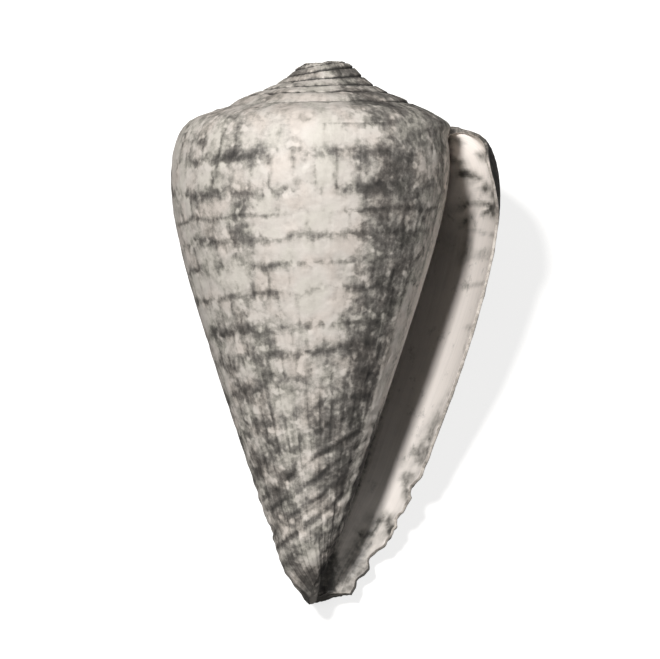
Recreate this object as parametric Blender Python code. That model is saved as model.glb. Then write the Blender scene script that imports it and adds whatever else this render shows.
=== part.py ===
"""A cone shell lying on its back, mouth up, as one hollow solid.

The shell grows as real ones do. One outline, from the seam of a whorl over its shoulder and down its
side to the front tip, turns about the coiling axis and grows by the same share with every turn. The
whorls above the last one show only their tops, which make the spire. The last whorl is a wall with the
mouth under its free edge, and the hollow follows it round to a blind end behind the core. No modifier
turns an outline that grows, so the surface is a loft between the outline's places, column by column.

In the growing frame, turn is the angle about the axis, 0 at the mouth's lip and negative before it, and
depth is the distance from the apex along the axis. All lengths are in metres.
"""

import math

import bmesh
import bpy
from mathutils import Matrix, Vector

MM = 0.001

# Driving dimensions
LENGTH = 75.0 * MM  # apex to the end of the front canal
WHORL_GROWTH = 1.39  # how much larger each turn is than the one before
WALL = 1.7 * MM
LIP_WALL = 0.95 * MM  # the wall thins towards the free lip
LIP_THINNING = math.radians(40)  # the stretch of the turn over which it thins

# The outline at the lip, as (radius, depth). The top runs from the seam to where the next whorl sits.
SEAM = Vector((16.85, 8.75)) * MM
TOP_CREST = Vector((19.3, 7.6)) * MM
TOP_SHOULDER = Vector((22.3, 9.1)) * MM
TOP_END = SEAM * WHORL_GROWTH
# The side is a cone, rounded off at the shoulder and drawn in at the front tip.
CONE_RADIUS = 34.1 * MM  # where the cone's line meets the apex plane
CONE_SLOPE = 0.337
SHOULDER_CUT = 6.6 * MM
SHOULDER_FADE = 9.3 * MM
TIP_START = 79.5 * MM
TIP_CURVE = 2.7  # per metre

# The front end runs obliquely, from the core on the right down to the canal's wall on the left.
CORE_LENGTH = 68.5 * MM
CORE_TURN = -2.0 * math.pi
CANAL_TURN = -0.9 * math.pi
END_EASE = 1.3  # above 1, the end runs down slowly at first
END_ROUND = 0.28  # the share of its radius by which the end is drawn in, over the last stretch
END_REACH = 4.0 * MM
CORE_RADIUS = 1.2 * MM  # the thinnest that the core gets
CORE_SOFTNESS = 0.5 * MM  # how gently it comes down to that

# The worn apex stands up as a low knob.
KNOB_FLAT = 1.5 * MM
KNOB_FOOT = 6.2 * MM
KNOB_RISE = 1.1 * MM

# The free lip's edge as (depth, degrees past the seam's end), and the chips broken from it.
LIP_EDGE = (
    (9, 0), (11, 14), (14, 20), (18, 15), (23, 3), (40, 0), (50, -7),
    (58, -13), (64, -24), (69, -38), (73, -49), (76, -46),
)
CHIPS = ((59.2, 1.3, 7.0), (63.4, 0.9, 3.0), (69.0, 1.5, 6.0), (72.2, 0.8, 3.0))  # depth, half width, degrees

# Low spiral cords on the lower third, closer together towards the tip
CORD_HEIGHT = 0.13 * MM
CORDS_FROM = 0.62  # share of the side
CORDS = 6
# The rows below this share of the side run down a little more steeply than the side's end does.
SLANT_FROM = 0.35
CORD_SLANT = 0.1  # share of the side in a turn
SLANT_LEVEL = -0.8 * 2 * math.pi  # the turn at which they keep their places

COLUMNS = 48  # per turn
SPIRE_TURNS = 5
HOLLOW_COLUMNS = 30  # how far the hollow follows the last whorl round
TOP_ROWS = 4
UPPER_SIDE = (0.035, 0.08, 0.135, 0.2, 0.27, 0.345, 0.42, 0.5, 0.58)  # shares of the side, above the cords

# How it lies: turned about its own axis and pitched until its weight is over the worn flat on its back
ROLL = math.radians(-2)
PITCH = math.radians(14.7)
REST_CUT = 0.6 * MM  # worn flat where it touches the surface
SURFACE_TINT = (0.80, 0.74, 0.67, 1.0)


def smooth_step(value, start, end):
    share = min(max((value - start) / (end - start), 0.0), 1.0)
    return share * share * (3 - 2 * share)


def between(points, value):
    """Reads a list of (position, amount) with straight lines between its points."""
    for (low, first), (high, second) in zip(points, points[1:]):
        if value <= high:
            return first + (second - first) * max(0.0, (value - low) / (high - low))
    return points[-1][1]


def stage(turn):
    """The size of the growing outline, 1 at the lip."""
    return WHORL_GROWTH ** (turn / (2 * math.pi))


def top_point(share):
    """The outline at the lip, from the seam (share 0) over the crest to where the next whorl sits (1)."""
    rest = 1 - share
    return (
        SEAM * rest**3
        + TOP_CREST * 3 * rest**2 * share
        + TOP_SHOULDER * 3 * rest * share**2
        + TOP_END * share**3
    )


def side_radius(depth):
    """The outline's radius below the shoulder, at the lip's stage."""
    cone = CONE_RADIUS - CONE_SLOPE * depth
    shoulder = SHOULDER_CUT * math.exp(-(depth - TOP_END.y) / SHOULDER_FADE)
    tip = TIP_CURVE * max(depth - TIP_START, 0.0) ** 2
    return cone - shoulder - tip


def side_end(turn):
    """The depth at which the side ends."""
    along = min(max((turn - CORE_TURN) / (CANAL_TURN - CORE_TURN), 0.0), 1.0)
    return CORE_LENGTH + (LENGTH - CORE_LENGTH) * along**END_EASE


def kept_thick(radius):
    """The radius, kept from getting smaller than the core's."""
    spread = radius - CORE_RADIUS
    return CORE_RADIUS + (spread + math.hypot(spread, CORE_SOFTNESS)) / 2


def cord(share):
    """The height of the spiral cords at this share of the side."""
    if share < CORDS_FROM:
        return 0.0
    along = (share - CORDS_FROM) / (1 - CORDS_FROM)
    return CORD_HEIGHT * math.sin(2 * math.pi * CORDS * along)


def side_shares():
    """The rows down the side: the shoulder's, then a crest and a groove for each cord."""
    step = (1 - CORDS_FROM) / (2 * CORDS)
    cords = [CORDS_FROM + step * (row + 0.5) for row in range(2 * CORDS)]
    return [0.0, *UPPER_SIDE, *cords, 1.0]


def slanted(share, turn):
    """Where a row runs at this turn, as a share of the side."""
    along = max(0.0, share - SLANT_FROM) / (1 - SLANT_FROM)
    turns = (turn - SLANT_LEVEL) / (2 * math.pi)
    return share + CORD_SLANT * turns * math.sin(math.pi * along) ** 2


def knob(radius, depth):
    """How far the worn apex stands above the even spiral."""
    if depth > TOP_END.y:
        return 0.0
    return KNOB_RISE * (1 - smooth_step(radius, KNOB_FLAT, KNOB_FOOT))


def outline(turn):
    """The outline's rows in this column, as (angle, radius, depth): the whorl's top, then its side."""
    rows = []
    for row in range(TOP_ROWS + 1):
        point = top_point(row / TOP_ROWS)
        pulled = turn + lip_pull(turn) * lip_angle(point.y * stage(turn))
        angle = pulled if row else turn
        rows.append((angle, *(point * stage(angle))))
    start, end = rows[-1][2], side_end(turn)
    for share in side_shares()[1:]:
        depth = start + (end - start) * slanted(share, turn)
        angle = turn + lip_pull(turn) * lip_angle(depth)
        size = stage(angle)
        near_end = max(0.0, 1 - (end - depth) / END_REACH)
        radius = kept_thick(size * side_radius(depth / size)) * (1 - END_ROUND * near_end**2)
        rows.append((angle, radius + cord(share), depth))
    return rows


def inset(rows, thickness):
    """The same outline, moved inwards by the wall's thickness."""
    moved = []
    for row, (angle, radius, depth) in enumerate(rows):
        above, below = rows[max(row - 1, 0)], rows[min(row + 1, len(rows) - 1)]
        inward = Vector((above[2] - below[2], below[1] - above[1])).normalized() * thickness
        moved.append((angle, radius + inward.x, depth + inward.y))
    return moved


def place(angle, radius, depth):
    """A point of the outline, in the standing frame: +X right, +Y the apex, +Z out of the mouth."""
    height = knob(radius, depth) - depth
    return Vector((radius * math.cos(angle), height, radius * math.sin(angle)))


def lip_angle(depth):
    """How far past the seam's end the lip reaches at this depth, chips taken off."""
    depth_mm = depth / MM
    angle = between(LIP_EDGE, depth_mm)
    for centre, half_width, bite in CHIPS:
        angle -= bite * max(0.0, 1 - abs(depth_mm - centre) / half_width)
    return math.radians(angle)


def lip_pull(turn):
    """How much of the lip's angle a column takes: none far behind the lip, all of it at the lip."""
    return smooth_step(turn, -math.radians(170), 0.0)


def wall_at(turn):
    return LIP_WALL + (WALL - LIP_WALL) * smooth_step(-turn, 0.0, LIP_THINNING)


class ShellMesh:
    """The closed mesh, with each column of the spiral kept once and shared by the whorls on both sides."""

    def __init__(self):
        self.mesh = bmesh.new()
        self.rows = TOP_ROWS + len(side_shares())
        self.last = self.rows - 1
        self.first_column = -COLUMNS * (SPIRE_TURNS + 1)
        self.outer = {}
        self.inner = {}

    def turn_of(self, column):
        return 2 * math.pi * column / COLUMNS

    def add_outer(self):
        """Vertices of the outside and of the core. A whorl's seam row is the top end row of the one before."""
        core_start = -COLUMNS - HOLLOW_COLUMNS
        for column in range(self.first_column, 1):
            turn = self.turn_of(column)
            for row, point in enumerate(outline(turn)):
                if row > TOP_ROWS and column < core_start:
                    continue
                above = self.outer.get((column - COLUMNS, TOP_ROWS))
                if row == 0 and above:
                    self.outer[column, 0] = above
                    continue
                self.outer[column, row] = self.mesh.verts.new(place(*point))

    def add_inner(self):
        """Vertices of the last whorl's inside. Its first row sits on the whorl before."""
        for column in range(-HOLLOW_COLUMNS, 1):
            turn = self.turn_of(column)
            for row, point in enumerate(inset(outline(turn), wall_at(turn))):
                if row == 0:
                    self.inner[column, 0] = self.outer[column - COLUMNS, TOP_ROWS + 1]
                    continue
                self.inner[column, row] = self.mesh.verts.new(place(*point))

    def face(self, *corners):
        kept = [corner for index, corner in enumerate(corners) if corner is not corners[index - 1]]
        if len(kept) > 2:
            self.mesh.faces.new(kept)

    def sheet(self, vertices, columns, rows):
        for column in columns:
            for row in rows:
                self.face(
                    vertices[column, row],
                    vertices[column, row + 1],
                    vertices[column + 1, row + 1],
                    vertices[column + 1, row],
                )

    def add_faces(self):
        core_start = -COLUMNS - HOLLOW_COLUMNS
        self.sheet(self.outer, range(self.first_column, -COLUMNS), range(TOP_ROWS))
        self.sheet(self.outer, range(-COLUMNS, 0), range(self.last))
        self.sheet(self.outer, range(core_start, -COLUMNS), range(TOP_ROWS + 1, self.last))
        self.sheet(self.inner, range(-HOLLOW_COLUMNS, 0), range(self.last))
        self.close_lip()
        self.close_hollow()
        self.close_tip()
        self.close_apex()

    def close_lip(self):
        for row in range(self.last):
            self.face(
                self.outer[0, row], self.outer[0, row + 1], self.inner[0, row + 1], self.inner[0, row]
            )

    def close_hollow(self):
        """The blind end of the hollow, from the wall's inside across to the core."""
        end, core = -HOLLOW_COLUMNS, -HOLLOW_COLUMNS - COLUMNS
        shoulder = TOP_ROWS + 1
        for row in range(self.last):
            self.face(
                self.inner[end, row],
                self.inner[end, row + 1],
                self.outer[core, max(row + 1, shoulder)],
                self.outer[core, max(row, shoulder)],
            )

    def close_tip(self):
        """The wall's thickness along its lower edge, then the rounded end of the core."""
        last, end = self.last, -HOLLOW_COLUMNS
        for column in range(end, 0):
            self.face(
                self.outer[column, last],
                self.outer[column + 1, last],
                self.inner[column + 1, last],
                self.inner[column, last],
            )
        ring = [self.outer[column, last] for column in range(end - COLUMNS, end + 1)]
        ring.append(self.inner[end, last])
        self.fan(ring, Vector((0.0, -CORE_LENGTH, 0.0)))

    def close_apex(self):
        first = self.first_column
        ring = [self.outer[column, 0] for column in range(first, first + COLUMNS + 1)]
        ring += [self.outer[first, row] for row in range(TOP_ROWS - 1, 0, -1)]
        self.fan(ring, sum((vertex.co for vertex in ring), Vector()) / len(ring))

    def fan(self, ring, point):
        """Closes a ring of vertices to one point."""
        centre = self.mesh.verts.new(point)
        for index, vertex in enumerate(ring):
            self.face(vertex, centre, ring[index - 1])


def lying_frame():
    """From the standing frame to how the shell lies, before it is lowered onto the surface."""
    return Matrix.Rotation(PITCH, 4, "X") @ Matrix.Rotation(ROLL, 4, "Y")


def settle(mesh):
    """Lowers the mesh onto the surface, with what goes just below it worn flat, and centres it."""
    mesh.transform(lying_frame())
    lowest = min(vertex.co.z for vertex in mesh.verts) + REST_CUT
    for vertex in mesh.verts:
        vertex.co.z = max(vertex.co.z - lowest, 0.0)
    for axis in (0, 1):
        spread = [vertex.co[axis] for vertex in mesh.verts]
        middle = (min(spread) + max(spread)) / 2
        for vertex in mesh.verts:
            vertex.co[axis] -= middle


def shell_material():
    material = bpy.data.materials.new("fossil_shell")
    material.use_nodes = True
    surface = material.node_tree.nodes["Principled BSDF"]
    surface.inputs["Base Color"].default_value = SURFACE_TINT
    surface.inputs["Roughness"].default_value = 0.5
    surface.inputs["Metallic"].default_value = 0.0
    return material


def build_shell(collection):
    shell = ShellMesh()
    shell.add_outer()
    shell.add_inner()
    shell.add_faces()
    mesh = shell.mesh
    settle(mesh)
    bmesh.ops.triangulate(mesh, faces=mesh.faces[:])
    bmesh.ops.recalc_face_normals(mesh, faces=mesh.faces[:])
    data = bpy.data.meshes.new("shell")
    mesh.to_mesh(data)
    mesh.free()
    data.shade_smooth()
    data.set_sharp_from_angle(angle=math.radians(45))
    data.materials.append(shell_material())
    collection.objects.link(bpy.data.objects.new("shell", data))


def main():
    for obj in list(bpy.data.objects):
        bpy.data.objects.remove(obj)
    collection = bpy.data.collections.new("cone_shell")
    bpy.context.scene.collection.children.link(collection)
    build_shell(collection)


main()
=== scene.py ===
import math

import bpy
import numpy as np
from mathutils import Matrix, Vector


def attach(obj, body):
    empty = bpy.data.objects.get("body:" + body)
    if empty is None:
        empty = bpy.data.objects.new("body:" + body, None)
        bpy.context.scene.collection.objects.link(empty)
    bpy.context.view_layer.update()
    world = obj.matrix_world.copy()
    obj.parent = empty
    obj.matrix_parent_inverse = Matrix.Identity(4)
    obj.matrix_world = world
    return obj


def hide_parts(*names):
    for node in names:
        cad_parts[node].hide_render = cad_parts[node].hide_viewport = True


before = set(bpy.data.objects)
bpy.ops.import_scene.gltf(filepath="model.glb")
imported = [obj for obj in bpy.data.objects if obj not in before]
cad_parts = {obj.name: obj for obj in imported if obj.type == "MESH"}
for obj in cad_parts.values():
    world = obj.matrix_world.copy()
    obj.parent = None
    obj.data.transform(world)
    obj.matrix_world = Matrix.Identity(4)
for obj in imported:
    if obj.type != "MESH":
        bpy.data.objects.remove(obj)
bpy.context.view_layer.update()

# A worn, fossil cone shell that lies on its back with its mouth up. It is one closed surface, worked out with
# numpy from the same growth rule as the solid that it replaces, with the finer relief that a hand would feel.
#
# In the growing frame, turn is the angle about the coiling axis in radians, 0 at the mouth's free lip and
# negative before it, and depth is the distance from the apex along the axis. Shapes are in millimetres, and
# become metres when the shell is laid on the surface. Arrays run along the turn first, then down the outline.

MM = 0.001
FULL_TURN = 2 * np.pi

# How fine the surface is
COLUMNS = 288  # in a turn
TOP_ROWS = 10
SIDE_ROWS = 190
LAST = TOP_ROWS + SIDE_ROWS
SPIRE_TURNS = 7
HOLLOW = 180  # columns that the hollow follows the last whorl round
RIM_ROWS = 5  # points across the thickness of the lip's rounded edge
JOIN = TOP_ROWS + RIM_ROWS + 1  # the row on the whorl before where the last whorl's inside begins
# Inside the mouth the columns get further apart, the deeper they are.
DEEP = np.unique(np.round(HOLLOW * np.linspace(0, 1, 30) ** 1.7).astype(int))

# The growth rule, as in the solid, except that the early whorls grew more slowly
WHORL_GROWTH = 1.39
SPIRE_GROWTH = 1.29
SEAM = (16.85, 8.75)  # radius and depth at the lip
TOP_CREST = (19.3, 8.4)
TOP_SHOULDER = (22.3, 9.2)
TOP_END = (SEAM[0] * WHORL_GROWTH, SEAM[1] * WHORL_GROWTH)
SEAM_SLOPE = SEAM[1] / SEAM[0]
# The worn spire's profile, as radius and depth: a knob with a flat top, then sides that get less steep
SPIRE = (
    (0, 0.0), (2.9, 0.05), (4.05, 0.8), (5.1, 1.9), (6.5, 3.0), (8.6, 4.1), (11.7, 5.3), (12.9, 6.3),
    (14.2, 6.6), (16.85, 8.75),
)
LENGTH = 75.0
CORE_LENGTH = 68.5
CANAL_TURN = -0.9 * np.pi
LIP_EDGE = (
    (9, 0), (11, 14), (14, 22), (18, 17), (23, 4), (40, 0), (50, -7),
    (58, -13), (64, -24), (69, -38), (73, -49), (76, -46),
)  # depth, degrees past the seam's end
CHIPS = ((59.2, 1.3, 7.0), (63.4, 0.9, 3.0), (69.0, 1.5, 6.0), (72.2, 0.8, 3.0))  # depth, half width, degrees
WALL = 1.7
LIP_WALL = 0.5
CORE_THICKNESS = 1.2  # the least radius of the side

# How the shell lies, and the shift in millimetres that puts it where the solid is
ROLL = math.radians(-2)
PITCH = math.radians(14.7)
LYING = Matrix.Rotation(PITCH, 3, "X") @ Matrix.Rotation(ROLL, 3, "Y")
SHIFT = (-1.8465, 36.0596, 26.638)

# What the camera looks at as the shell stands, to the right of the axis and up from the apex, and how wide
# the picture is there
VIEW_MIDDLE = (1.15, -36.95)
VIEW_WIDTH = 91.15

LIGHTS = (  # name, degrees to the right, degrees up, metres away, size in metres, watts
    ("key", -18, 21, 0.9, 0.13, 8.0),
    ("fill", 48, 20, 1.1, 0.4, 1.5),
)
LIT_MIDDLE = (0, -37)  # what the lamps face

# Markings
CELL = math.radians(9)  # width of a pale cell
CELL_ROWS = 18  # rows of cells down the side
FRONT = -1.5 * np.pi  # the turn that faces the viewer
GREYEST = 1.4
TOP_CELL_ROWS = 3  # rows of cells across a whorl's top
NO_SEAM = 9  # stands for too far from a seam to matter
NOISE_CELLS = 32  # after which the noise repeats
CORD_SPACING = 0.6  # rows of cells from one spiral cord to the next


def ease(value, start, end):
    """0 before start, 1 after end, and an S-shaped curve between them."""
    share = np.clip((value - start) / (end - start), 0, 1)
    return share * share * (3 - 2 * share)


def hump(value, middle, half_width):
    """A smooth rise to 1 at the middle, and 0 outside its half width."""
    return np.clip(1 - ((value - middle) / half_width) ** 2, 0, 1) ** 2


def noise(points, size, seed):
    """Smooth noise from -1 to 1: random values at the corners of cubes of this size, blended between them."""
    table = np.random.default_rng(seed).uniform(-1, 1, (NOISE_CELLS, NOISE_CELLS, NOISE_CELLS))
    place = points / size
    corner = np.floor(place).astype(int)
    blend = place - corner
    blend = blend * blend * (3 - 2 * blend)
    total = np.zeros(points.shape[:-1])
    for step in np.ndindex(2, 2, 2):
        step = np.array(step)
        weight = np.where(step, blend, 1 - blend).prod(-1)
        at = (corner + step) % NOISE_CELLS
        total += weight * table[at[..., 0], at[..., 1], at[..., 2]]
    return total


def noise_along(value, size, seed):
    """The same smooth noise along one line."""
    points = np.stack([value, np.zeros_like(value), np.zeros_like(value)], -1)
    return noise(points, size, seed)


def stage(turn):
    """The size of the growing side: 1 at the lip, and one share smaller with every turn before it."""
    return WHORL_GROWTH ** (turn / FULL_TURN)


def seam_size(turn):
    """The size of the seam's spiral: as the side's in the last whorl, and slower to grow before it."""
    turns = turn / FULL_TURN
    return WHORL_GROWTH ** np.maximum(turns, -1) * SPIRE_GROWTH ** np.minimum(turns + 1, 0)


def lip_reach(depth):
    """How far past the seam's end the lip reaches, read from its edge and rounded over a few millimetres.
    Close to the seam it is drawn back."""
    at, degrees = np.array(LIP_EDGE, float).T
    nearby = [np.interp(depth + shift, at, degrees) for shift in (-1.4, -0.7, 0, 0.7, 1.4)]
    notch = 9 * (1 - ease(depth, 8.8, 10.6))
    return np.radians(sum(nearby) / len(nearby) - notch)


def lip_bites(depth):
    """What is broken from the lip: the chips, and a ragged edge that is rougher towards the front."""
    degrees = sum(bite * np.clip(1 - np.abs(depth - at) / half, 0, 1) ** 0.8 for at, half, bite in CHIPS)
    ragged = noise_along(depth, 1.1, 11) + 0.6 * noise_along(depth, 0.5, 12)
    degrees = degrees + ragged * (0.15 + 1.1 * ease(depth, 50, 64))
    return np.radians(degrees)


def cubic(share, one, two, three, four):
    """A cubic curve through the first and last amount, drawn towards the two between."""
    rest = 1 - share
    return one * rest**3 + 3 * two * rest**2 * share + 3 * three * rest * share**2 + four * share**3


def whorl_top(share, turn):
    """Radius and depth of a whorl's top. The spire's whorls are straight from seam to seam, and the last
    whorl swells over its shoulder. It runs flatter again close to the lip."""
    flat = ease(turn, -math.radians(40), 0)
    radius = cubic(share, SEAM[0], TOP_CREST[0], TOP_SHOULDER[0], TOP_END[0])
    crest, shoulder = TOP_CREST[1] + 0.55 * flat, TOP_SHOULDER[1] + 0.2 * flat
    swelling = SEAM_SLOPE * radius - cubic(share, SEAM[1], crest, shoulder, TOP_END[1])
    swelling = swelling * ease(turn, -1.4 * FULL_TURN, -0.8 * FULL_TURN)
    out = (radius - SEAM[0]) / (TOP_END[0] - SEAM[0])
    size, next_size = seam_size(turn), seam_size(turn + FULL_TURN)
    radius = SEAM[0] * (size + out * (next_size - size))
    return radius, SEAM_SLOPE * radius - swelling * size


def spire_rise(radius, angle):
    """How far the worn spire stands above an even cone. Its knob is wider to the right."""
    at, depth = np.array(SPIRE, float).T
    moved = radius - 0.5 * np.cos(angle) * (1 - ease(radius, 4, 12))
    worn = sum(np.interp(moved + shift, at, depth) for shift in (-0.4, 0, 0.4)) / 3
    return (SEAM_SLOPE * radius - worn) * (radius < SEAM[0])


def side_radius(depth):
    """Radius below the shoulder at the lip's size: a cone that gets a third of a millimetre narrower with
    each millimetre down, rounded off above and drawn in at the tip."""
    shoulder = 6.6 * np.exp(-(depth - TOP_END[1]) / 9.3)
    tip = 0.0027 * np.maximum(depth - 79.5, 0) ** 2
    return 34.1 - 0.337 * depth - shoulder - tip


def side_end(turn):
    """The depth where the side ends: it runs obliquely from the core down to the canal's wall, and the
    lip's corner is worn off."""
    along = np.clip((turn + FULL_TURN) / (CANAL_TURN + FULL_TURN), 0, 1)
    worn_corner = ease(turn, -math.radians(70), 0)
    return CORE_LENGTH + (LENGTH - CORE_LENGTH) * along**1.3 - worn_corner


def slanted(share, turn):
    """Where a row runs at this turn, as a share of the side. The lower rows run down as the shell grows."""
    along = np.maximum(0, share - 0.35) / 0.65
    return share + 0.1 * (turn / FULL_TURN + 0.8) * np.sin(np.pi * along) ** 2


def kept_thick(radius):
    """The radius, kept from getting smaller than the core's."""
    spare = radius - CORE_THICKNESS
    return CORE_THICKNESS + (spare + np.hypot(spare, 0.5)) / 2


def outline(turn, top_share):
    """Angle, radius and depth of the outline's points at each turn: its top, then its side."""
    turn = np.asarray(turn, float)[:, None]
    pull = ease(turn, -math.radians(170), 0)
    top_share = top_share[None, :]
    angle = turn + pull * lip_reach(whorl_top(top_share, turn)[1])
    radius, depth = whorl_top(top_share, angle)
    last_whorl = ease(turn, -math.radians(480), -math.radians(360))
    depth = depth - spire_rise(radius, angle) * (1 - ease(top_share, 0, 0.35) * last_whorl)

    share = np.arange(1, SIDE_ROWS + 1)[None, :] / SIDE_ROWS
    start, end = depth[:, -1:], side_end(turn)
    down = start + (end - start) * slanted(share, turn)
    side_angle = turn + pull * lip_reach(down) - ease(turn, -math.radians(16), 0) * lip_bites(down)
    size = stage(side_angle)
    near_end = np.maximum(0, 1 - (end - down) / 5.5)
    drawn_in = 0.55 - 0.35 * ease(turn, -math.radians(150), -math.radians(60))
    side = kept_thick(size * side_radius(down / size)) * (1 - drawn_in * near_end**2)
    return (
        np.concatenate([angle, side_angle], 1),
        np.concatenate([radius, side], 1),
        np.concatenate([depth, down], 1),
    )


def stood(angle, radius, depth):
    """Points of the outline as the shell stands: +X right, +Y to the apex, +Z out of the mouth. A dip runs
    across the apex, and the seam's end is swollen where the lip joins it."""
    across, out = radius * np.cos(angle), radius * np.sin(angle)
    dip = 0.55 * np.exp(-((across + 0.1) / 0.5) ** 2) * np.exp(-(out / 3) ** 2)
    dip = (dip + 0.15 * ease(-across, 0.3, 1.2)) * (1 - ease(radius, 3.5, 6)) * (depth < 4)
    from_lip = np.angle(np.exp(1j * angle))
    swollen = 0.9 * hump(from_lip, 0.05, 0.8) * hump(depth, 8.9, 1.6) * (radius > 15) * (radius < 19)
    radius = radius + swollen
    return np.stack([radius * np.cos(angle), -depth - dip, radius * np.sin(angle)], -1)


def inside(turn):
    """The wall's inner face: the outline moved inwards by the wall's thickness, which is least at the lip.
    Its first row is left out, because it sits on the whorl before."""
    top_share = np.linspace(0.12, 1, TOP_ROWS)
    angle, radius, depth = outline(turn, top_share)
    turn = np.asarray(turn, float)[:, None]
    wall = LIP_WALL + (WALL - LIP_WALL) * ease(-turn, 0, math.radians(40))
    step_out, step_down = np.gradient(radius, axis=1), np.gradient(depth, axis=1)
    length = np.hypot(step_out, step_down)
    return angle, radius - wall * step_down / length, depth + wall * step_out / length


def corner_filled(turn, points):
    """The inside with the mouth's top corner filled by the shell's inner layer: raised to a gently sloping
    floor below the seam, which sinks into the hollow over the next centimetre."""
    right, up, out = np.moveaxis(points, -1, 0)
    floor_level = -2 + 0.3 * (right - 18)
    near_lip = ease(turn, -math.radians(85), -math.radians(55))[:, None]
    share = (1 - ease(-up, 11, 26)) * ease(right, 14.5, 18) * near_lip
    raised = out + np.maximum(floor_level - out, 0) * share
    return np.stack([right, up, raised], -1)


class Skin:
    """Points kept once each, and triangles whose corners each carry their own place in the growth pattern,
    so that the pattern doesn't smear where a whorl meets the one before it."""

    def __init__(self):
        self.count = 0
        self.points = []
        self.facts = []
        self.triangles = []
        self.growth = []
        self.finish = []

    def add(self, points, growth, kind):
        """Keeps a grid of points with their growth places and what they belong to, and returns their
        numbers."""
        numbers = self.count + np.arange(points[..., 0].size).reshape(points.shape[:-1])
        self.count += numbers.size
        self.points.append(points.reshape(-1, 3))
        kinds = np.full(numbers.shape, float(kind))
        self.facts.append(np.stack([growth[..., 0], growth[..., 1], kinds], -1).reshape(-1, 3))
        return numbers

    def keep(self, numbers, growth, corners, finish, flip):
        """Keeps triangles, apart from those that have shrunk to a line."""
        corners = corners[:, ::-1] if flip else corners
        found = numbers.reshape(-1)[corners]
        whole = (found != np.roll(found, 1, axis=1)).all(1)
        self.triangles.append(found[whole])
        self.growth.append(growth.reshape(-1, 2)[corners][whole])
        self.finish.append(np.full(whole.sum(), finish))

    def sheet(self, numbers, growth, finish, flip=False):
        """Two triangles for each cell between neighbouring columns and rows."""
        at = np.arange(numbers.size).reshape(numbers.shape)
        near, far = at[:-1], at[1:]
        first = np.stack([near[:, :-1], far[:, :-1], far[:, 1:]], -1).reshape(-1, 3)
        second = np.stack([near[:, :-1], far[:, 1:], near[:, 1:]], -1).reshape(-1, 3)
        self.keep(numbers, growth, np.concatenate([first, second]), finish, flip)

    def zipped(self, one, other, growth, finish, flip=False):
        """A strip between two edges with different numbers of points. The steps along both, in order of
        where they come, each make one triangle."""
        steps_one, steps_other = len(one) - 1, len(other) - 1
        where = np.concatenate([
            (np.arange(steps_one) + 0.5) / steps_one,
            (np.arange(steps_other) + 0.5) / steps_other,
        ])
        is_one = np.arange(len(where)) < steps_one
        is_one = is_one[np.argsort(where, kind="stable")]
        at_one = np.cumsum(is_one) - is_one
        at_other = np.cumsum(~is_one) - ~is_one
        far = np.where(is_one, at_one + 1, len(one) + at_other + 1)
        corners = np.stack([at_one, far, len(one) + at_other], -1)
        places = np.full((len(one) + len(other), 2), growth, float)
        self.keep(np.concatenate([one, other]), places, corners, finish, flip)

    def capped(self, ring, points, growth, middle, finish, rings, flip=False):
        """Closes a ring of points with smaller rings that shrink to its middle."""
        shares = np.linspace(1, 0, rings + 2)[1:-1]
        smaller = middle + (points[:, None] - middle) * shares[None, :, None]
        places = np.repeat(growth[:, None], rings + 2, axis=1)
        added = self.add(smaller, places[:, 1:-1], finish)
        centre = self.add(middle[None], places[:1, 0], finish)
        numbers = np.concatenate([ring[:, None], added, np.repeat(centre[None], len(ring), 0)], 1)
        numbers = np.concatenate([numbers, numbers[:1]])
        places = np.concatenate([places, places[:1]])
        self.sheet(numbers, places, finish, flip)


OUTSIDE, MOUTH, BROKEN = range(3)  # finishes, and also what a point belongs to


def growth_places(turn, rows):
    """Where the pattern is at each point: cells round the shell, and rows of cells down it. The whorls'
    tops have negative rows."""
    turn = np.asarray(turn, float)[:, None] / CELL
    rows = np.asarray(rows, float)[None, :]
    on_top = TOP_CELL_ROWS * (rows / TOP_ROWS - 1)
    down = np.where(rows <= TOP_ROWS, on_top, (rows - TOP_ROWS) / SIDE_ROWS * CELL_ROWS)
    return np.stack(np.broadcast_arrays(turn, down), -1)


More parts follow.
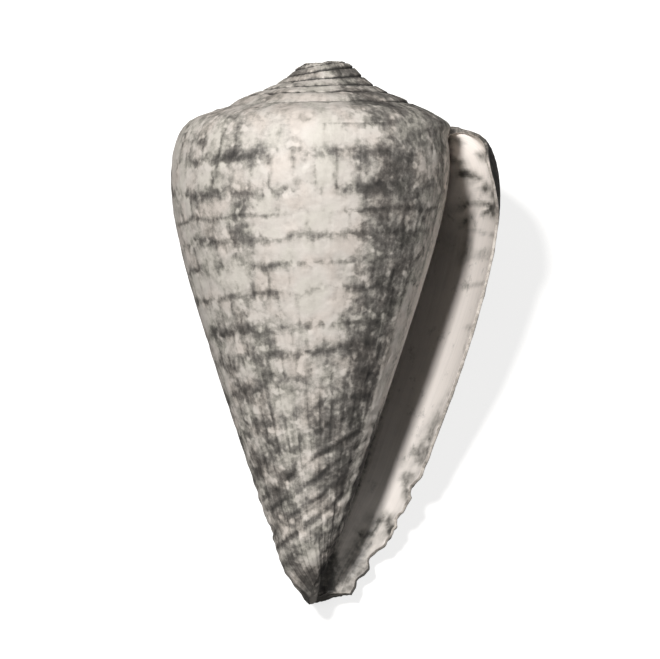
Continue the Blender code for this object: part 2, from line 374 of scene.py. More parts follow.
def grown_skin():
    """The whole shell as it stands, in millimetres: spire, last whorl, core, inside, and the edges
    between."""
    skin = Skin()
    rows = np.arange(LAST + 1)
    top_share = (1 - np.cos(np.pi * np.arange(TOP_ROWS + 1) / TOP_ROWS)) / 2
    turn_of = FULL_TURN / COLUMNS

    # Tops of all whorls. The first row of each is the last row of the whorl before.
    columns = np.arange(-COLUMNS * (SPIRE_TURNS + 1), 1)
    places = growth_places(columns * turn_of, rows)
    points = stood(*outline(columns * turn_of, top_share))
    top = np.empty((len(columns), TOP_ROWS + 1), int)
    top[:, 1:] = skin.add(points[:, 1:TOP_ROWS + 1], places[:, 1:TOP_ROWS + 1], OUTSIDE)
    top[:COLUMNS, 0] = skin.add(points[:COLUMNS, 0], places[:COLUMNS, 0], OUTSIDE)
    for start in range(COLUMNS, len(columns), COLUMNS):
        top[start:start + COLUMNS, 0] = top[start - COLUMNS:start, TOP_ROWS][:len(top) - start]
    skin.sheet(top[:-COLUMNS], places[:-COLUMNS, :TOP_ROWS + 1], OUTSIDE)

    # The last whorl, top and side
    whorl_points, whorl_places = points[-COLUMNS - 1:], places[-COLUMNS - 1:]
    side = skin.add(whorl_points[:, TOP_ROWS + 1:], whorl_places[:, TOP_ROWS + 1:], OUTSIDE)
    whorl = np.concatenate([top[-COLUMNS - 1:], side], 1)
    skin.sheet(whorl, whorl_places, OUTSIDE)

    # The core inside the mouth, which is the side of the whorl before
    turns = (-COLUMNS - DEEP) * turn_of
    core_points = stood(*outline(turns, top_share))[:, JOIN:]
    core_places = growth_places(turns, rows)[:, JOIN:]
    core = np.concatenate([whorl[:1, JOIN:], skin.add(core_points[1:], core_places[1:], MOUTH)])
    skin.sheet(core, core_places, MOUTH, flip=True)

    # The last whorl's inside
    turns = -DEEP * turn_of
    inner_points = stood(*inside(turns))
    joined = 0.6 * (1 - ease(np.arange(1, LAST + 1) / TOP_ROWS, 0.1, 0.45))[None, :, None]
    inner_points += (core_points[:, :1] - inner_points) * joined
    inner_points = corner_filled(turns, inner_points)
    inner_places = growth_places(turns, rows)
    inner = np.concatenate([core[:, :1], skin.add(inner_points, inner_places[:, 1:], MOUTH)], 1)
    skin.sheet(inner, inner_places, MOUTH)

    # The rounded edge, down the lip and then round the front end
    bottom_turns = -np.arange(1, HOLLOW + 1) * turn_of
    bottom_inner = stood(*inside(bottom_turns))[:, -1]
    edge = np.concatenate([whorl[-1], whorl[-2:-HOLLOW - 2:-1, -1]])
    edge_places = np.concatenate([whorl_places[-1], whorl_places[-2:-HOLLOW - 2:-1, -1]])
    outer_edge = np.concatenate([whorl_points[-1], whorl_points[-2:-HOLLOW - 2:-1, -1]])
    inner_edge = np.concatenate([core_points[:1, 0], inner_points[0], bottom_inner])
    past_lip = whorl_points[-1] - whorl_points[-2]
    past_front = whorl_points[-2:-HOLLOW - 2:-1, -1] - whorl_points[-2:-HOLLOW - 2:-1, -2]
    past = np.concatenate([past_lip, past_front])
    past /= np.linalg.norm(past, axis=1, keepdims=True)
    span = 15  # steps that its direction is evened out over
    window = np.ones(span) / span
    padded = np.pad(past, ((span // 2, span // 2), (0, 0)), "edge")
    past = np.stack([np.convolve(padded[:, axis], window, "valid") for axis in range(3)], 1)
    across = (np.arange(1, RIM_ROWS + 1) / (RIM_ROWS + 1))[None, :, None]
    thickness = np.linalg.norm(inner_edge - outer_edge, axis=1)[:, None, None]
    bulge = 0.22 * np.minimum(thickness, WALL) * np.sin(np.pi * across)
    rim_points = outer_edge[:, None] * (1 - across) + inner_edge[:, None] * across + past[:, None] * bulge
    rim_places = np.repeat(edge_places[:, None], RIM_ROWS + 2, axis=1)
    rim = np.concatenate([
        whorl[:1, TOP_ROWS + 1:JOIN],
        skin.add(rim_points[1:], rim_places[1:, 1:-1], BROKEN),
    ])
    lip = np.concatenate([edge[:LAST + 1, None], rim[:LAST + 1], inner[0][:, None]], 1)
    skin.sheet(lip, rim_places[:LAST + 1], BROKEN, flip=True)
    front = np.concatenate([edge[LAST:, None], rim[LAST:]], 1)
    skin.sheet(front, rim_places[LAST:, :-1], BROKEN, flip=True)
    skin.zipped(rim[LAST:, -1], inner[:, -1], (0, CELL_ROWS), BROKEN, flip=True)

    # The blind end of the hollow, then the core's worn end
    skin.zipped(inner[-1], core[-1], (-30, 10), MOUTH, flip=True)
    ring = np.concatenate([core[:0:-1, -1], whorl[:COLUMNS - HOLLOW + 1, -1], rim[-1], inner[-1:, -1]])
    known = np.concatenate(skin.points)
    ring_places = np.zeros((len(ring), 2)) + (0, CELL_ROWS)
    middle = np.array([0.0, -CORE_LENGTH, 0.0])
    skin.capped(ring, known[ring], ring_places, middle, OUTSIDE, rings=5)

    # The apex
    ring = np.concatenate([top[:COLUMNS + 1, 0], top[0, TOP_ROWS - 1:0:-1]])
    ring_places = np.zeros((len(ring), 2)) + ((FRONT - SPIRE_TURNS * FULL_TURN) / CELL, -1)
    skin.capped(ring, known[ring], ring_places, known[ring].mean(0), OUTSIDE, rings=6, flip=True)
    return skin


def point_normals(points, triangles):
    """Each point's outward direction: the mean of its triangles' directions, the larger ones counting
    more."""
    a, b, c = (points[triangles[:, corner]] for corner in range(3))
    outward = np.cross(b - a, c - a)
    total = np.zeros_like(points)
    for corner in range(3):
        for axis in range(3):
            total[:, axis] += np.bincount(triangles[:, corner], outward[:, axis], len(points))
    return total / np.maximum(np.linalg.norm(total, axis=1, keepdims=True), 1e-12)


def beside_seam(turn, down):
    """Millimetres from the nearest seam, stretched near the apex so that the small whorls' seams are thin.
    Each whorl's top starts at one seam, and ends at the next whorl's."""
    share = (1 - np.cos(np.pi * np.clip(down / TOP_CELL_ROWS + 1, 0, 1))) / 2
    radius, depth = whorl_top(share, turn)
    first_radius, first_depth = whorl_top(0, turn)
    next_radius, next_depth = whorl_top(1, turn)
    before = np.hypot(radius - first_radius, depth - first_depth)
    after = np.hypot(radius - next_radius, depth - next_depth)
    near = np.minimum(before, np.where(turn < -FULL_TURN, after, NO_SEAM))
    near = near / np.clip(2 * seam_size(turn), 0.4, 1)
    return np.where(down < 0.1, near, NO_SEAM)


def lean(turn, share):
    """How far the pattern's low rows are shifted, so that they rise to the right on the face that shows."""
    return 0.9 * np.sin(FRONT - turn) * ease(share, 0.55, 0.75) * (1 - 0.7 * ease(share, 0.78, 1))


def relief(points, cells, down, kind, seam):
    """How far the surface stands out, in millimetres, and the hollows in it that keep dirt: growth ridges
    along the old lips, spiral cords low on the side, the seams' grooves, wear and pits, and a rough broken
    edge. Both sides are smooth close to the core's edge, so that it runs evenly."""
    turn = cells * CELL
    share = down / CELL_ROWS
    depth = -points[:, 1]
    uneven = noise(points, 7.0, 21)
    ridges = 0.04 * noise_along(turn, math.radians(2.2), 22) + 0.05 * noise_along(turn, math.radians(6), 23)
    ridges = ridges * (0.7 + 0.6 * uneven)
    step = 0.12 * (noise_along(turn, math.radians(17), 24) - 0.2)

    cord_place = (down + lean(turn, share)) / CORD_SPACING + 0.25 * noise(points, 6.0, 26)
    cords = 0.08 * np.sin(FULL_TURN * cord_place) * ease(share, 0.6, 0.7) * (0.8 + 0.5 * uneven)
    cords = cords * ease(turn, -0.98 * FULL_TURN, -0.88 * FULL_TURN)

    fine = 0.045 * noise(points, 1.4, 27) + 0.035 * noise(points, 0.7, 28)
    dents = 0.1 * ease(noise(points, 2.3, 29), 0.45, 0.9) + 0.12 * ease(noise(points, 1.0, 30), 0.5, 0.9)
    grooves = 0.24 * np.exp(-((seam / 0.22) ** 2)) * (1 + 0.4 * uneven)
    nick = 0.35 * hump(depth, 64.7, 1.4) * hump(turn, -np.pi, 0.6)
    hollows = dents + grooves + 1.2 * np.maximum(-cords, 0)
    outside = ridges + step * ease(down, -1, 1) + np.maximum(cords, -0.05) + fine - dents - grooves - nick
    from_edge = ease(np.abs(turn + FULL_TURN), 0, 0.15)
    outside = np.where(down > 0.3, outside * from_edge, outside)

    mouth = (0.03 * noise(points, 3.0, 31) + 0.02 * noise_along(turn, math.radians(3), 32)) * from_edge
    broken = 0.1 * noise(points, 0.9, 33) * ease(depth, 45, 62) + 0.03 * noise(points, 0.6, 34)
    return np.select([kind == OUTSIDE, kind == MOUTH], [outside, mouth], broken), hollows * (kind == OUTSIDE)


# The grey bands between the rows of pale cells: rows down the side, half their height, how much darker
BANDS = (
    (-0.1, 0.14, 0.34), (1.15, 0.3, 0.24), (2.53, 0.25, 0.4), (3.45, 0.1, 0.36), (4.38, 0.2, 0.36),
    (5.4, 0.16, 0.32), (6.5, 0.15, 0.36), (7.8, 0.2, 0.36), (8.8, 0.2, 0.3), (9.9, 0.25, 0.3),
    (11.0, 0.2, 0.28), (12.0, 0.2, 0.3), (12.9, 0.12, 0.35), (13.7, 0.12, 0.4), (14.5, 0.12, 0.4),
    (15.3, 0.12, 0.4), (16.3, 0.2, 0.3),
)
# Grey places in the markings: rows down the side, half their height in rows, degrees to the right of the
# face that shows, half their width in degrees, and how much darker they are, or paler below 0
BLOTCHES = (
    (1.2, 0.5, -42, 30, 0.34), (3.2, 1.0, -34, 8, 0.3), (0.2, 0.4, -62, 16, 0.3),
    (4.4, 1.2, -62, 16, -0.12), (5.4, 0.8, -52, 30, 0.06), (7.6, 1.3, -50, 28, 0.26),
    (1.4, 0.5, 18, 5, 0.4), (2.6, 0.4, 19, 5, 0.25), (4.4, 0.4, 16, 14, 0.2),
    (6.4, 0.35, -24, 8, 0.35), (7.3, 0.6, 14, 8, 0.2), (9.5, 0.7, -38, 20, 0.14),
    (10.2, 2.0, -42, 48, -0.2), (13.5, 3.0, 12, 28, 0.2), (0.9, 1.0, -16, 26, 0.06),
    (1.0, 0.9, -82, 14, -0.2),
)
# Grey marks on the lip's inner face: depth at 20 mm from the axis, how much deeper for each millimetre to
# the right, half their height, where they start and end to the right, and how much darker they are
LIP_MARKS = (
    (14.9, 0.9, 1.5, 18.6, 25, 0.75), (19.1, 0.2, 0.8, 20.6, 25, 0.5), (19.9, 0.2, 1.6, 22.2, 25, 0.8),
    (11.6, 0.6, 1.5, 21.2, 24, 0.6), (22.8, 0.3, 0.6, 20.6, 24.5, 0.35), (26.4, 0.0, 1.3, 20.6, 24.5, 0.35),
    (11.2, 0.3, 0.9, 17, 20, 0.5), (31.0, -0.2, 0.6, 19, 23, 0.3), (36.5, 0.3, 0.8, 19.5, 22.5, 0.3),
    (44.8, -1.5, 4.0, 10.8, 18, 0.6), (60.2, 0.0, 2.6, 11.3, 16, 0.5), (65.0, 0.0, 3.0, 8.8, 14, 0.6),
)


def cell_marks(points, turn, down):
    """How grey the bands between the rows of pale cells are, and how the cells differ: each row of cells
    starts somewhere else, faint lines part its cells, and each cell has its own tone."""
    rows = down + lean(turn, down / CELL_ROWS) + 0.13 * noise(points, 3.0, 47) + 0.07 * noise(points, 1.3, 48)
    bands = 1.2 * sum(darker * np.exp(-(((rows - row) / high) ** 2)) for row, high, darker in BANDS)
    broken_up = np.clip(0.9 + noise(points * (1, 4, 1), 6.0, 49), 0.35, 1.3)
    row = np.searchsorted([band[0] for band in BANDS], rows)
    chance = np.random.default_rng(50).uniform(-1, 1, (len(BANDS) + 1, 64))
    along = turn / CELL + 0.5 * chance[row, 0] + 0.12 * noise(points, 2.0, 51)
    cell = np.floor(along).astype(int) % chance.shape[1]
    beside = np.abs(along - np.round(along))
    lines = 0.3 * np.exp(-((beside / 0.1) ** 2)) * (0.6 + 0.9 * noise(points, 4.0, 52))
    on_side = ease(down, -0.4, 0.2)
    return bands * broken_up * on_side, (0.11 * chance[row, cell] + np.maximum(lines, 0)) * on_side


def outside_grey(points, turn, down, seam, cloud, from_core):
    """The outside's markings. Their places are degrees to the right of the face that shows, and shares of
    the side's height."""
    share = down / CELL_ROWS
    depth = -points[:, 1]
    right = np.degrees(np.angle(np.exp(1j * (FRONT - turn))))
    back = ease(np.abs(right), 110, 170)
    front = 1 - back
    low = ease(share, 0.36, 0.58)
    on_side = down > 0
    streaks = noise_along(turn, math.radians(6), 43) + 0.6 * noise_along(turn, math.radians(2.4), 44)

    # Rows of pale cells with grey bands between them, calmest in the middle
    aside = ease(np.abs(right + 5), 8, 35)
    bands, tones = cell_marks(points, turn, down)
    bands = bands * (1 - 0.5 * ease(right, 20, 40))
    grey = 0.03 + 0.06 * aside + 0.09 * cloud * (0.5 + 1.5 * aside) + bands + tones

    # The right is dark from an uneven upright edge on, and paler again towards the mouth.
    turns_pale = 44 - 8 * low
    paler = (0.35 + 0.5 * ease(share, 0.25, 0.45)) * ease(right, turns_pale, turns_pale + 16)
    paler = np.maximum(paler, 0.45 * ease(-down, 0, 0.6))
    edge = 13 + 3 * noise_along(points[:, 1], 4.0, 53) + 2 * noise_along(points[:, 1], 1.2, 54)
    grey += 0.22 * ease(right, edge, edge + 4) * (1 - 0.2 * low) * (1 - paler) * front
    grey += (0.42 - 0.2 * low) * ease(right, 12, 34) * (1 - paler) * front
    grey -= (0.06 + 0.17 * low) * ease(right, 24, 40) * front
    grey += 0.13 * streaks * ease(right, 8, 35) * front

    # The left, the lower half, the back, and just behind the lip
    left = ease(-right, 12, 40) * (1 - 0.8 * ease(-right, 60, 80))
    grey += 0.19 * left * (0.6 + 0.4 * ease(share, 0.1, 0.3)) * front
    paler_sides = np.maximum(0.9 * ease(right, 44, 60), 0.5 * ease(-right, 62, 80)) * front
    grey += low * (0.32 + 0.14 * ease(right, -20, 10)) * (1 - paler_sides)
    grey -= 0.16 * ease(share, 0.84, 0.93) * ease(-right, 0, 20) * front
    # Painted shade on the outer face just behind the lip
    grey += 0.25 * back + 0.9 * ease(turn, -math.radians(30), 0)

    # Blotches, whose places wander up and down by up to a third of a row
    uneven_down = down + 0.3 * noise(points, 4.0, 55)
    for row, high, place, wide, darker in BLOTCHES:
        blotch = hump(uneven_down, row, high) * hump(right, place, wide)
        grey += darker * blotch * (1 + 1.2 * cloud)

    # The spire, its seams, and a darker left side of its knob
    grey += (0.18 + 0.1 * ease(right, -10, 50)) * ease(-down, 0.1, 0.5) * front
    grey += 0.45 * np.exp(-((seam / 0.45) ** 2)) * (0.8 + 0.8 * cloud)
    grey += 0.3 * hump(right, -60, 70) * hump(depth, 1.6, 1.4) * (seam < NO_SEAM)

    # Beside the mouth a pale strip, and low down a dark line on its edge that is painted shade in the gap by
    # the core. The front end is darkened with painted shadow.
    by_core = ease(-turn, 1.6 * np.pi, 1.7 * np.pi) * on_side
    strip = np.maximum(ease(right, 60, 72), ease(from_core, -2.2, -1.3) * low)
    grey += (0.12 + 0.3 * cloud - 0.85 * grey) * strip * ease(share, 0.05, 0.3) * by_core
    line = ease(from_core, -0.65, -0.3) * ease(depth, 44, 52) * by_core
    grey += (0.9 - 0.4 * ease(depth, 60, 67)) * line
    grey += 0.6 * (1 - ease(side_end(turn) - depth, 0.5, 2.5)) * on_side
    grey += 0.35 * ease(depth, 68.5, 71) * on_side
    return grey


def shade_edge(right, edge):
    """Painted shadow to the left of an edge in the mouth, and most of it close to that edge."""
    return (0.1 + 0.55 * ease(right, edge - 1.3, edge - 0.6)) * (1 - ease(right, edge - 0.7, edge + 0.3))


def mouth_shade_and_marks(points, turn, cloud, from_core):
    """Painted shade in the mouth, strong where it is deep and on the core, with real grey marks on the lip's
    inner face. Places are in millimetres, to the right of the axis and down from the apex."""
    right, depth = points[:, 0], -points[:, 1]
    patchy = ease(noise(points, 1.5, 56), -0.6, 0.4)
    # Painted shade that deepens further into the hollow
    shade_and_marks = 0.85 * ease(-turn, math.radians(40), math.radians(85)) + 0.1 * (cloud - 0.4)

    # The painted shadow starts below the filled top corner, along a slanted edge, and the corner above it is
    # kept paler.
    upper = np.minimum(17.6 + 0.85 * (depth - 12.4), 20.8)
    below_corner = ease(depth, 11.9, 12.7) * (1 - ease(depth, 24, 32))
    shade_and_marks = np.maximum(shade_and_marks, shade_edge(right, upper) * below_corner)
    shade_and_marks *= 0.55 + 0.45 * ease(depth, 11.4, 12.6)

    # Towards the canal the painted shadow reaches further out, then gets even and mid grey.
    shade_and_marks += 0.2 * ease(-turn, 0.5, 0.9) * ease(depth, 48, 56)
    lower = 8.0 - 0.35 * (depth - 64.6) + 0.5 * patchy
    shade_and_marks = np.maximum(shade_and_marks, shade_edge(right, lower) * ease(-turn, 0, 0.3) * ease(depth, 60, 64))
    shade_and_marks += 0.45 * ease(depth, 61, 65) * patchy * ease(turn, -0.7, -0.4)
    shade_and_marks += (0.56 - shade_and_marks) * 0.9 * ease(depth, 66.5, 70)
    # A dark band of painted shade in the gap beside the core's edge
    shade_and_marks += 0.5 * (1 - ease(from_core, 0.3, 1.0)) * ease(depth, 38, 46)

    broken_up = ease(noise(points, 1.2, 46), -0.8, 0.2)
    for first, slope, high, left_end, right_end, darker in LIP_MARKS:
        beside = depth - first - slope * (right - 20)
        within = ease(right, left_end, left_end + 0.6) * (1 - ease(right, right_end - 0.6, right_end))
        shade_and_marks += darker * hump(beside, 0, high) * within * broken_up

    # The core inside the mouth is given painted shade.
    core = np.maximum(ease(-turn - FULL_TURN, 0.02, 0.15), ease(depth, 44, 52))
    return np.where(turn < -FULL_TURN, 1.3 * core, shade_and_marks)


def greyness(points, cells, down, kind, seam):
    """How grey the markings and the painted shade are, from 0 for the pale cells to GREYEST for the darkest
    painted shade: one rule for the outside, one for the mouth, and one for the broken edge, which is mostly
    painted shade of the lip's outer face and darker at both its ends."""
    turn = cells * CELL
    depth = -points[:, 1]
    cloud = 0.6 * noise(points, 6.0, 41) + 0.4 * noise(points, 2.6, 42)
    from_core = points[:, 0] - kept_thick(side_radius(depth * WHORL_GROWTH) / WHORL_GROWTH)
    outside = outside_grey(points, turn, down, seam, cloud, from_core)
    mouth = mouth_shade_and_marks(points, turn, cloud, from_core)
    # The broken edge is darkened with painted shade of the lip's outer face, and with painted shadow at the
    # front end.
    broken = 0.3 + 0.3 * ease(depth, 40, 60) + 0.5 * cloud + 0.5 * (1 - ease(depth, 11, 16))
    broken += 0.8 * ease(depth, 69, 71)
    return np.clip(np.select([kind == OUTSIDE, kind == MOUTH], [outside, mouth], broken), 0, GREYEST)


def laid_down(points):
    """Turns the shell onto its back, in metres, with what would go below the surface worn flat."""
    points = points @ np.array(LYING).T + SHIFT
    points[:, 2] = np.maximum(points[:, 2], 0)
    return points * MM


def shell_piece(name, materials):
    """The shell's mesh: every point stands out along its normal by the relief."""
    skin = grown_skin()
    points = np.concatenate(skin.points)
    triangles = np.concatenate(skin.triangles)
    cells, down, kind = np.concatenate(skin.facts).T
    seam = beside_seam(cells * CELL, down)
    height, hollows = relief(points, cells, down, kind, seam)
    grey = greyness(points, cells, down, kind, seam)
    points = laid_down(points + point_normals(points, triangles) * height[:, None])

    mesh = bpy.data.meshes.new(name)
    mesh.from_pydata(points, [], triangles)
    places = mesh.uv_layers.new(name="growth")
    places.data.foreach_set("uv", np.concatenate(skin.growth).astype(np.float32).ravel())
    for label, values in (("grey", grey), ("hollows", hollows), ("seam", seam)):
        mesh.attributes.new(label, "FLOAT", "POINT").data.foreach_set("value", values.astype(np.float32))
    mesh.polygons.foreach_set("material_index", np.concatenate(skin.finish).astype(np.int32))
    mesh.shade_smooth()
    for material in materials:
        mesh.materials.append(material)
    mesh.validate()
    mesh.update()
    piece = bpy.data.objects.new(name, mesh)
    bpy.context.scene.collection.objects.link(piece)
    return piece


def linear(colour):
    """An sRGB hex colour as linear red, green, blue and 1."""
    parts = np.array([int(colour[at:at + 2], 16) for at in (1, 3, 5)]) / 255
    parts = np.where(parts <= 0.04045, parts / 12.92, ((parts + 0.055) / 1.055) ** 2.4)
    return (*parts, 1.0)


def put(tree, kind, inputs=None, stops=(), **settings):
    """Adds one node with its settings, then its values and links by the input's name or number, and the
    colours of a ramp at their places. A MapRange's inputs 0 to 4 are its value, the lowest and highest that
    it takes, and the lowest and highest that it gives."""
    node = tree.nodes.new("ShaderNode" + kind)
    for name, value in settings.items():
        setattr(node, name, value)
    for name, value in (inputs or {}).items():
        if isinstance(value, bpy.types.NodeSocket):
            tree.links.new(value, node.inputs[name])
        else:
            node.inputs[name].default_value = value
    for number, (place, colour) in enumerate(stops):
        if number > 1:
            node.color_ramp.elements.new(1.0)
        node.color_ramp.elements[number].position = place
        node.color_ramp.elements[number].color = linear(colour)
    return node


def new_material(name):
    """A material with its node tree and its main shader."""
    material = bpy.data.materials.new(name)
    material.use_nodes = True
    return material, material.node_tree, material.node_tree.nodes["Principled BSDF"]


def weathered_shell():
    """Aragonite shell that has lost its skin and its gloss to age: pale cells over grey mottling. Broad
    marks come with the mesh, and finer ones are added here. The eye gets a dry, chalky face with a weak
    broad highlight."""
    material, tree, shader = new_material("weathered_shell")
    place = put(tree, "UVMap", uv_map="growth").outputs["UV"]
    solid = put(tree, "TexCoord").outputs["Object"]
    grey = put(tree, "Attribute", attribute_name="grey").outputs["Fac"]
    hollows = put(tree, "Attribute", attribute_name="hollows").outputs["Fac"]
    seam = put(tree, "Attribute", attribute_name="seam").outputs["Fac"]

    # Marks 2.5 mm across, dots of 0.8 and 1.4 mm, and streaks along the old lips a third of a cell apart.
    # Scales are marks in a metre. They are strong where the markings are grey.
    coarse = put(tree, "TexNoise", {"Vector": solid, "Scale": 400.0, "Detail": 2.0}).outputs["Fac"]
    coarse = put(tree, "MapRange", {0: coarse, 1: 0.3, 2: 0.7, 3: -0.26, 4: 0.26}).outputs[0]
    dotted = {"Vector": solid, "Scale": 1200.0, "Detail": 3.0, "Roughness": 0.7}
    fine = put(tree, "TexNoise", dotted).outputs["Fac"]
    fine = put(tree, "MapRange", {0: fine, 1: 0.3, 2: 0.7, 3: -0.26, 4: 0.26}).outputs[0]
    spots = put(tree, "TexNoise", {"Vector": solid, "Scale": 700.0, "Detail": 1.0}).outputs["Fac"]
    spots = put(tree, "MapRange", {0: spots, 1: 0.56, 2: 0.68, 3: 0.04, 4: -0.34}).outputs[0]
    drawn = put(tree, "VectorMath", {0: place, 1: (3.0, 0.35, 1.0)}, operation="MULTIPLY").outputs[0]
    streaks = put(tree, "TexNoise", {"Vector": drawn, "Scale": 1.0, "Detail": 3.0}).outputs["Fac"]
    streaks = put(tree, "MapRange", {0: streaks, 1: 0.3, 2: 0.7, 3: -0.13, 4: 0.13}).outputs[0]
    mottle = put(tree, "Math", {0: coarse, 1: fine}, operation="ADD").outputs[0]
    mottle = put(tree, "Math", {0: mottle, 1: spots}, operation="ADD").outputs[0]
    mottle = put(tree, "Math", {0: mottle, 1: streaks}, operation="ADD").outputs[0]
    unrest = put(tree, "MapRange", {0: grey, 2: 0.4, 3: 0.22, 4: 1.0}).outputs[0]
    dark = put(tree, "Math", {0: mottle, 1: unrest, 2: grey}, operation="MULTIPLY_ADD").outputs[0]

    # Dirt in the pits, and a thin dark line that comes and goes along the seams
    dirt = put(tree, "MapRange", {0: hollows, 1: 0.04, 2: 0.2, 3: 0.0, 4: 0.45}).outputs[0]
    dark = put(tree, "Math", {0: dark, 1: dirt}, operation="ADD").outputs[0]
    seam = put(tree, "MapRange", {0: seam, 1: 0.06, 2: 0.24, 3: 0.8, 4: 0.0}).outputs[0]
    kept = put(tree, "MapRange", {0: fine, 1: -0.3, 2: 0.2, 3: 0.4, 4: 1.0}).outputs[0]
    dark = put(tree, "Math", {0: seam, 1: kept, 2: dark}, operation="MULTIPLY_ADD").outputs[0]
    dark = put(tree, "MapRange", {0: dark, 2: 1.5}).outputs[0]
    stops = (
        (0.0, "#E2DAD1"), (0.15, "#D4CCC3"), (0.33, "#ADA79E"), (0.5, "#807B75"), (0.7, "#5A5651"),
        (1.0, "#383532"),
    )
    colour = put(tree, "ValToRGB", {0: dark}, stops=stops).outputs[0]

    # Faint cooler and warmer patches 4 mm across
    tint = put(tree, "TexNoise", {"Vector": solid, "Scale": 260.0, "Detail": 1.0}).outputs["Fac"]
    stops = ((0.35, "#F0F6EE"), (0.5, "#FFFFFF"), (0.65, "#FDF3EE"))
    tint = put(tree, "ValToRGB", {0: tint}, stops=stops).outputs[0]
    mix = put(tree, "Mix", {0: 0.3, 6: colour, 7: tint}, data_type="RGBA", blend_type="MULTIPLY")
    tree.links.new(mix.outputs[2], shader.inputs["Base Color"])
    shader.inputs["IOR"].default_value = 1.53
    rough = put(tree, "MapRange", {0: dark, 3: 0.55, 4: 0.75}).outputs[0]
    tree.links.new(rough, shader.inputs["Roughness"])
    chalky = {"Vector": solid, "Scale": 1600.0, "Detail": 4.0, "Roughness": 0.6}
    grain = put(tree, "TexNoise", chalky).outputs["Fac"]
    bump = put(tree, "Bump", {"Height": grain, "Strength": 0.5, "Distance": 0.00012})
    tree.links.new(bump.outputs["Normal"], shader.inputs["Normal"])
    return material


def mouth_enamel():
    """The smooth inner layer, dense and still silky, creamy at the lip and darker deeper in, where painted
    shade from the mesh's grey stands for the hollow's shadow. The eye gets a soft sheen on the lip's band and
    a dark, even hollow behind it."""
    material, tree, shader = new_material("mouth_enamel")
    place = put(tree, "UVMap", uv_map="growth").outputs["UV"]
    solid = put(tree, "TexCoord").outputs["Object"]
    grey = put(tree, "Attribute", attribute_name="grey").outputs["Fac"]
    # Growth lines run along the lip and are about 0.6 mm apart.
    drawn = put(tree, "VectorMath", {0: place, 1: (5.0, 0.25, 1.0)}, operation="MULTIPLY").outputs[0]
    lines = put(tree, "TexNoise", {"Vector": drawn, "Scale": 1.0, "Detail": 2.0}).outputs["Fac"]
    lines = put(tree, "MapRange", {0: lines, 1: 0.3, 2: 0.7, 3: -0.04, 4: 0.05}).outputs[0]
    worn = {"Vector": solid, "Scale": 300.0, "Detail": 5.0, "Roughness": 0.7}
    patches = put(tree, "TexNoise", worn).outputs["Fac"]
    patches = put(tree, "MapRange", {0: patches, 1: 0.58, 2: 0.7, 3: 0.0, 4: 0.3}).outputs[0]
    speckle = put(tree, "TexNoise", {"Vector": solid, "Scale": 1300.0, "Detail": 3.0}).outputs["Fac"]
    speckle = put(tree, "MapRange", {0: speckle, 1: 0.35, 2: 0.65, 3: 0.75, 4: 1.2}).outputs[0]
    dark = put(tree, "Math", {0: grey, 1: speckle, 2: patches}, operation="MULTIPLY_ADD").outputs[0]
    dark = put(tree, "Math", {0: dark, 1: lines}, operation="ADD").outputs[0]
    dark = put(tree, "MapRange", {0: dark, 2: GREYEST}).outputs[0]
    stops = ((0.0, "#FBF2EA"), (0.25, "#C9C2BA"), (0.5, "#75716B"), (0.7, "#4F4C48"), (1.0, "#262423"))
    colour = put(tree, "ValToRGB", {0: dark}, stops=stops).outputs[0]
    tree.links.new(colour, shader.inputs["Base Color"])
    shader.inputs["IOR"].default_value = 1.53
    shader.inputs["Roughness"].default_value = 0.42
    bump = put(tree, "Bump", {"Height": patches, "Strength": 0.4, "Distance": 0.00008}, invert=True)
    tree.links.new(bump.outputs["Normal"], shader.inputs["Normal"])
    return material


def broken_edge():
    """Raw shell along the lip's chipped edge: layers seen end on, dull and a little sugary, and darkened by
    painted shade from the mesh's grey. The eye gets a matt, uneven line between the two smoother faces."""
    material, tree, shader = new_material("broken_edge")
    solid = put(tree, "TexCoord").outputs["Object"]
    grey = put(tree, "Attribute", attribute_name="grey").outputs["Fac"]
    sugary = {"Vector": solid, "Scale": 1100.0, "Detail": 4.0, "Roughness": 0.7}
    grit = put(tree, "TexNoise", sugary).outputs["Fac"]
    grit = put(tree, "MapRange", {0: grit, 1: 0.35, 2: 0.65, 3: -0.25, 4: 0.35}).outputs[0]
    dark = put(tree, "Math", {0: grey, 1: grit}, operation="ADD", use_clamp=True).outputs[0]
    stops = ((0.0, "#E4DBD1"), (0.4, "#BDB4AA"), (1.0, "#5A5651"))
    colour = put(tree, "ValToRGB", {0: dark}, stops=stops).outputs[0]
    tree.links.new(colour, shader.inputs["Base Color"])
    shader.inputs["IOR"].default_value = 1.53
    shader.inputs["Roughness"].default_value = 0.7
    bump = put(tree, "Bump", {"Height": grit, "Strength": 0.6, "Distance": 0.0001})
    tree.links.new(bump.outputs["Normal"], shader.inputs["Normal"])
    return material


def pale_board():
    """Smooth matt card, nearly white, which glows a little so that it fills the picture evenly."""
    material, tree, shader = new_material("pale_card")
    shader.inputs["Base Color"].default_value = linear("#BDBBB8")
    shader.inputs["Roughness"].default_value = 0.85
    shader.inputs["Emission Color"].default_value = linear("#FFFFFF")
    shader.inputs["Emission Strength"].default_value = 0.75
    mesh = bpy.data.meshes.new("floor")
    half = 2.0
    corners = [(-half, -half, 0), (half, -half, 0), (half, half, 0), (-half, half, 0)]
    mesh.from_pydata(corners, [], [(0, 1, 2, 3)])
    mesh.materials.append(material)
    board = bpy.data.objects.new("floor", mesh)
    bpy.context.scene.collection.objects.link(board)
    board.visible_diffuse = False  # so that its glow doesn't light the shell from below
    board.visible_glossy = False
    return board


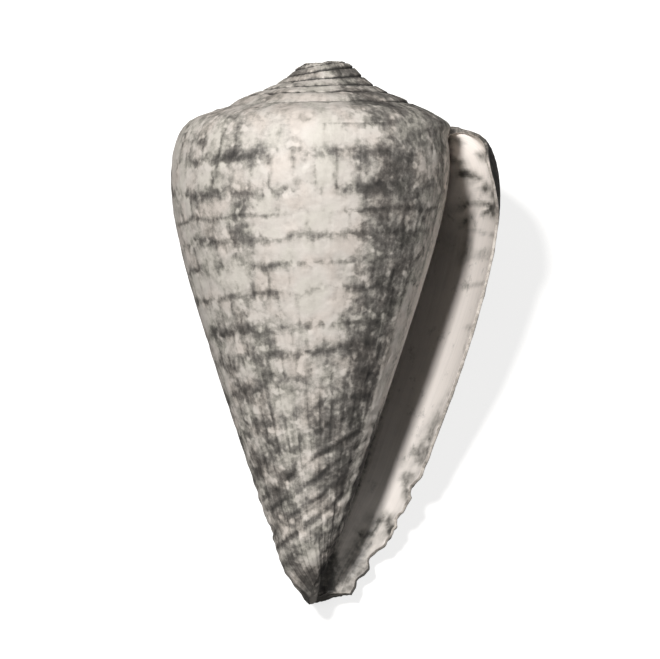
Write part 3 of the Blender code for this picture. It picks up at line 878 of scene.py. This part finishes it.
def facing(place, target, up):
    """The turn and place of something at place that looks at the target, with up upwards."""
    back = (place - target).normalized()
    side = up.cross(back).normalized()
    turned = Matrix((side, back.cross(side), back)).transposed().to_4x4()
    turned.translation = place
    return turned


def shell_place(right, up, out):
    """A place given as the shell stands, in metres as it lies."""
    return (LYING @ Vector((right, up, out)) + Vector(SHIFT)) * MM


def set_camera():
    """Square to the mouth's side and far off, as a picture of a specimen is taken. The shell fills 0.82 of
    the picture's height."""
    lens = bpy.data.cameras.new("camera")
    lens.lens = 200
    lens.sensor_width = 36
    distance = lens.lens / lens.sensor_width * VIEW_WIDTH
    camera = bpy.data.objects.new("camera", lens)
    bpy.context.scene.collection.objects.link(camera)
    target = shell_place(*VIEW_MIDDLE, 0)
    place = shell_place(*VIEW_MIDDLE, distance)
    camera.matrix_world = facing(place, target, LYING @ Vector((0, 1, 0)))
    bpy.context.scene.camera = camera


def set_light(name, round_deg, up_deg, distance, size, watts):
    """A round lamp that faces the shell, round_deg to the right of its mouth side and up_deg to its apex."""
    around, rise = math.radians(round_deg), math.radians(up_deg)
    lamp = bpy.data.lights.new(name, "AREA")
    lamp.shape = "DISK"
    lamp.size = size
    lamp.energy = watts
    light = bpy.data.objects.new(name, lamp)
    bpy.context.scene.collection.objects.link(light)
    across = math.cos(rise)
    towards = Vector((math.sin(around) * across, math.sin(rise), math.cos(around) * across))
    middle = Vector((*LIT_MIDDLE, 0))
    target = shell_place(*middle)
    place = shell_place(*(middle + towards * (distance / MM)))
    light.matrix_world = facing(place, target, LYING @ Vector((0.01, 1, 0)))


def set_room():
    """Weak white light from all round, and colours shown as they are."""
    world = bpy.data.worlds.new("room")
    world.use_nodes = True
    world.node_tree.nodes["Background"].inputs["Color"].default_value = linear("#FFFFFF")
    world.node_tree.nodes["Background"].inputs["Strength"].default_value = 0.12
    bpy.context.scene.world = world
    bpy.context.scene.view_settings.view_transform = "Standard"


shell = shell_piece("cone_shell", [weathered_shell(), mouth_enamel(), broken_edge()])
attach(shell, "root")
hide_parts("shell")

floor = pale_board()

set_camera()
set_room()
for lamp in LIGHTS:
    set_light(*lamp)
